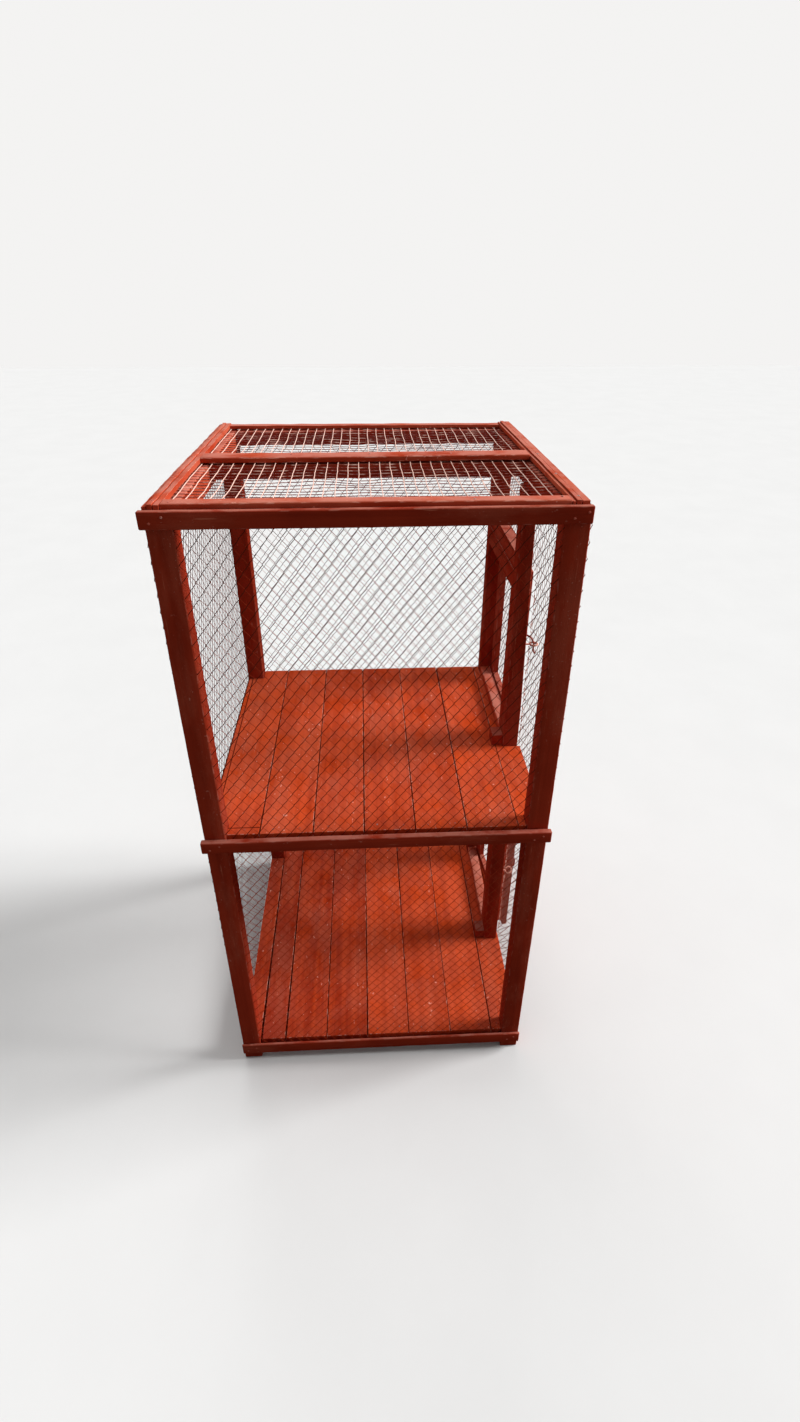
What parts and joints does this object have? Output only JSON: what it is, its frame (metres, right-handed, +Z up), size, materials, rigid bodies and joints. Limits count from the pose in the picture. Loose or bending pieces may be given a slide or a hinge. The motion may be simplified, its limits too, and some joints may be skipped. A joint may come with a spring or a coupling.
{
  "type": "wooden chicken cage",
  "caption": "Two-tier wooden cage with wire net on every side, boarded floor and shelf, and a hinged, hooked side door to each tier.",
  "frame": {"origin": "middle of the underside of the whole cage, at the height of the feet", "axes": "+X to the right, where the doors are, +Y to the rear, +Z up"},
  "size_m": [0.646, 0.625, 1.219],
  "materials": {
    "painted_frame": "red-oxide gloss paint, brushed thickly over sawn wood, scuffed at the edges",
    "painted_boards": "red-oxide paint worn thin and dusty over sawn boards",
    "painted_wire": "thin steel wire with patchy red-oxide paint",
    "painted_hardware": "steel hinges, hooks and eyes painted over with the wood"
  },
  "bodies": {
    "frame": {"door_jamb": "painted_frame", "floor_board_1": "painted_boards", "floor_board_2": "painted_boards", "floor_board_3": "painted_boards", "floor_board_4": "painted_boards", "floor_board_5": "painted_boards", "floor_board_6": "painted_boards", "floor_board_7": "painted_boards", "floor_board_8": "painted_boards", "floor_front_bearer": "painted_frame", "floor_front_strip": "painted_frame", "floor_rear_bearer": "painted_frame", "front_left_post": "painted_frame", "front_net": "painted_wire", "front_right_post": "painted_frame", "left_net": "painted_wire", "lower_header": "painted_frame", "lower_high_hinge_post_leaf": "painted_hardware", "lower_jamb_eye": "painted_hardware", "lower_low_hinge_post_leaf": "painted_hardware", "lower_sill": "painted_frame", "rear_left_post": "painted_frame", "rear_net": "painted_wire", "rear_right_post": "painted_frame", "right_net": "painted_wire", "roof_front_batten": "painted_frame", "roof_joist": "painted_frame", "roof_left_batten": "painted_frame", "roof_middle_batten": "painted_frame", "roof_net": "painted_wire", "roof_right_batten": "painted_frame", "shelf_board_1": "painted_boards", "shelf_board_2": "painted_boards", "shelf_board_3": "painted_boards", "shelf_board_4": "painted_boards", "shelf_board_5": "painted_boards", "shelf_board_6": "painted_boards", "shelf_board_7": "painted_boards", "shelf_front_bearer": "painted_frame", "shelf_front_strip": "painted_frame", "shelf_rear_bearer": "painted_frame", "top_front_strip": "painted_frame", "top_left_rail": "painted_frame", "top_rear_rail": "painted_frame", "top_right_rail": "painted_frame", "upper_header": "painted_frame", "upper_high_hinge_post_leaf": "painted_hardware", "upper_jamb_eye": "painted_hardware", "upper_low_hinge_post_leaf": "painted_hardware", "upper_sill": "painted_frame"},
    "lower_door": {"lower_door_frame": "painted_frame", "lower_door_net": "painted_wire", "lower_high_hinge_door_leaf": "painted_hardware", "lower_low_hinge_door_leaf": "painted_hardware"},
    "upper_door": {"upper_door_frame": "painted_frame", "upper_door_net": "painted_wire", "upper_high_hinge_door_leaf": "painted_hardware", "upper_low_hinge_door_leaf": "painted_hardware"},
    "lower_hook": {"lower_hook": "painted_hardware"},
    "upper_hook": {"upper_hook": "painted_hardware"}
  },
  "joints": [
    {"name": "lower_door_hinge", "type": "hinge", "parent": "frame", "child": "lower_door", "pos_m": [0.28896, 0.27155, 0.052], "axis": [0, 0, 1], "range_deg": [-5.5, 100]},
    {"name": "upper_door_hinge", "type": "hinge", "parent": "frame", "child": "upper_door", "pos_m": [0.28896, 0.27155, 0.642], "axis": [0, 0, 1], "range_deg": [0, 105]},
    {"name": "lower_hook_pivot", "type": "hinge", "parent": "lower_door", "child": "lower_hook", "pos_m": [0.31223, 0.01535, 0.2745], "axis": [0.9954, 0.0958, 0], "range_deg": [-150, 40]},
    {"name": "upper_hook_pivot", "type": "hinge", "parent": "upper_door", "child": "upper_hook", "pos_m": [0.28756, 0.0143, 0.8735], "axis": [1, 0, 0], "range_deg": [-150, 0]}
  ]
}
